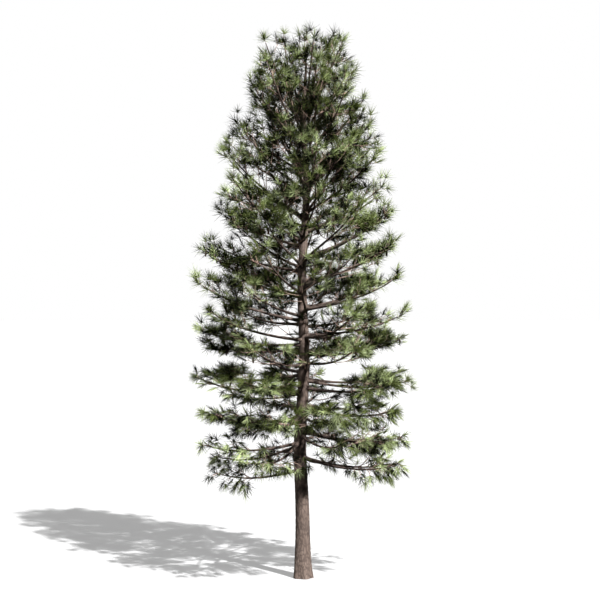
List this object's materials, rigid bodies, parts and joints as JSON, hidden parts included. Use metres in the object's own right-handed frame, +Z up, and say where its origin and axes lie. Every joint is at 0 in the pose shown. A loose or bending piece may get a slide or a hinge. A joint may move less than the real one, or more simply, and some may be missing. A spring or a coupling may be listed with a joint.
{
  "type": "pine tree",
  "caption": "Tall, narrow long-needled pine: a straight bare lower trunk, then spreading boughs with masses of needle sprays up to a broad leafy top.",
  "frame": {"origin": "middle of the flat cut under the trunk, at ground level", "axes": "+Z up along the trunk, +X to the right in the picture's view, +Y away from the viewer"},
  "size_m": [6.3134, 6.27, 15.0261],
  "materials": {
    "trunk_bark": "rough, furrowed grey-brown bark in long plates",
    "bough_bark": "rough dark brown bark, scaly, with leaf-base ridges on the twigs",
    "needles": "matt to satin green needles in sprays"
  },
  "bodies": {
    "root": {"bough_01": "bough_bark", "bough_02": "bough_bark", "bough_04": "bough_bark", "bough_05": "bough_bark", "bough_07": "bough_bark", "bough_08": "bough_bark", "bough_10": "bough_bark", "bough_11": "bough_bark", "bough_13": "bough_bark", "bough_14": "bough_bark", "bough_16": "bough_bark", "bough_17": "bough_bark", "bough_19": "bough_bark", "bough_20": "bough_bark", "bough_22": "bough_bark", "bough_23": "bough_bark", "bough_25": "bough_bark", "foliage_01": "needles", "foliage_02": "needles", "foliage_03": "needles", "foliage_04": "needles", "foliage_05": "needles", "foliage_06": "needles", "foliage_07": "needles", "foliage_08": "needles", "foliage_09": "needles", "foliage_10": "needles", "foliage_11": "needles", "foliage_12": "needles", "foliage_13": "needles", "foliage_14": "needles", "foliage_15": "needles", "foliage_16": "needles", "foliage_17": "needles", "foliage_18": "needles", "foliage_19": "needles", "foliage_20": "needles", "foliage_21": "needles", "foliage_22": "needles", "foliage_23": "needles", "foliage_24": "needles", "foliage_25": "needles", "foliage_26": "needles", "foliage_27": "needles", "foliage_28": "needles", "foliage_29": "needles", "foliage_30": "needles", "foliage_31": "needles", "foliage_32": "needles", "foliage_33": "needles", "foliage_34": "needles", "foliage_35": "needles", "foliage_36": "needles", "foliage_37": "needles", "foliage_38": "needles", "foliage_39": "needles", "foliage_40": "needles", "trunk": "trunk_bark"}
  },
  "joints": []
}
